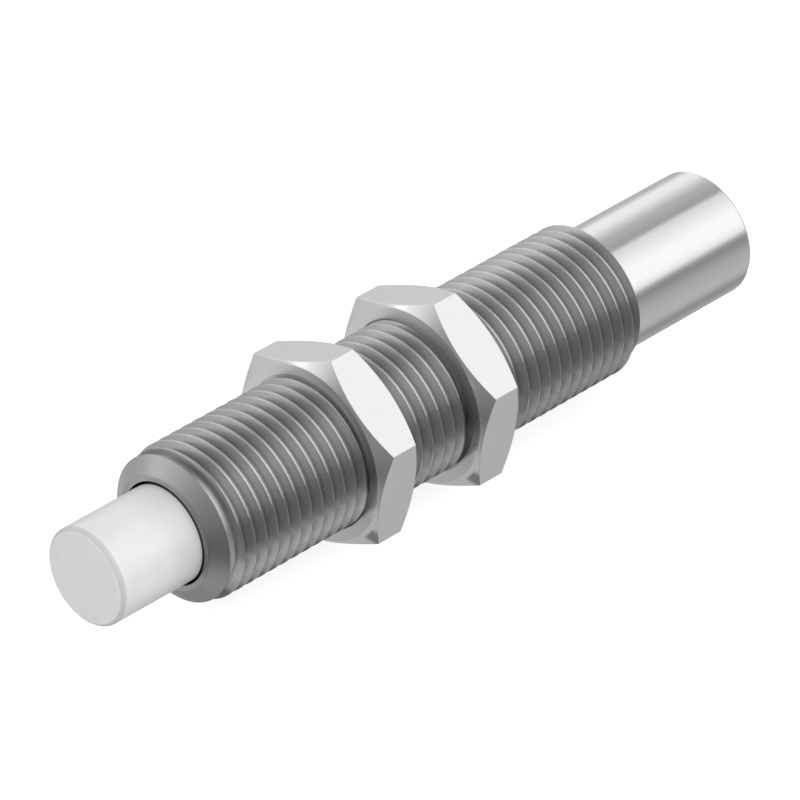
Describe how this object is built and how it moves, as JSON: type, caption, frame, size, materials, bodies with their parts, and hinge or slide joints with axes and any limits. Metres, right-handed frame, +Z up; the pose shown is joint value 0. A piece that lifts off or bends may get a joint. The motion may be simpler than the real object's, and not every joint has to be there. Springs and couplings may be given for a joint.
{
  "type": "industrial shock absorber",
  "caption": "Compact hydraulic shock absorber: threaded steel body with a smooth tail, thin hexagon lock nuts and a white plastic impact cap on a sprung rod.",
  "frame": {"origin": "centre of the flat stop face at the front end of the threaded housing, on the absorber's axis", "axes": "+X along the absorber's axis from the impact cap towards the tail; +Z up, square to a flat of both lock nuts, so the part lies on their lower flats; +Y to the left when looking along +X"},
  "size_m": [0.0861, 0.022, 0.019],
  "materials": {
    "body_steel": "dark satin stainless steel with a cut thread",
    "tail_steel": "bright turned stainless steel",
    "nut_steel": "satin stainless steel",
    "white_plastic": "satin moulded acetal",
    "hard_chrome": "ground and hard-chromed",
    "bearing_bronze": "machined bronze",
    "seal_rubber": "matt nitrile rubber",
    "plain_steel": "machined steel",
    "foam": "closed-cell foam",
    "ring_plastic": "filled bearing plastic",
    "ball_steel": "polished",
    "spring_steel": "oiled spring steel",
    "plug_aluminium": "turned",
    "screw_steel": "blackened steel"
  },
  "bodies": {
    "housing": {"threaded_housing": "body_steel", "rear_cylinder": "tail_steel", "rod_guide": "bearing_bronze", "wiper_ring": "seal_rubber", "rod_seal": "seal_rubber", "guide_o_ring": "seal_rubber", "joint_o_ring": "seal_rubber", "plug_o_ring": "seal_rubber", "fill_screw_seal": "seal_rubber", "seal_washer": "plain_steel", "tube_washer": "plain_steel", "accumulator_foam": "foam", "metering_tube": "plain_steel", "return_spring": "spring_steel", "spring_seat": "plain_steel", "base_plug": "plug_aluminium", "retaining_ring": "spring_steel", "fill_screw": "screw_steel"},
    "rod": {"buffer_cap": "white_plastic", "piston_rod": "hard_chrome", "piston": "plain_steel", "piston_ring": "ring_plastic", "ball_retainer": "plain_steel"},
    "valve_ball": {"check_ball": "ball_steel"},
    "nut_front": {"lock_nut_front": "nut_steel"},
    "nut_rear": {"lock_nut_rear": "nut_steel"}
  },
  "joints": [
    {"name": "stroke", "type": "slide", "parent": "housing", "child": "rod", "axis": [1, 0, 0], "range_m": [0, 0.0103], "stiffness_N_per_m": 1000, "springref_m": -0.006, "deforming": ["return_spring"]},
    {"name": "check_valve", "type": "slide", "parent": "rod", "child": "valve_ball", "axis": [1, 0, 0], "range_m": [0, 0.0003]},
    {"name": "lock_nut_front_travel", "type": "slide", "parent": "housing", "child": "nut_front", "axis": [1, 0, 0], "range_m": [-0.0165, 0.0045]},
    {"name": "lock_nut_rear_travel", "type": "slide", "parent": "housing", "child": "nut_rear", "axis": [1, 0, 0], "range_m": [-0.0045, 0.018]}
  ]
}
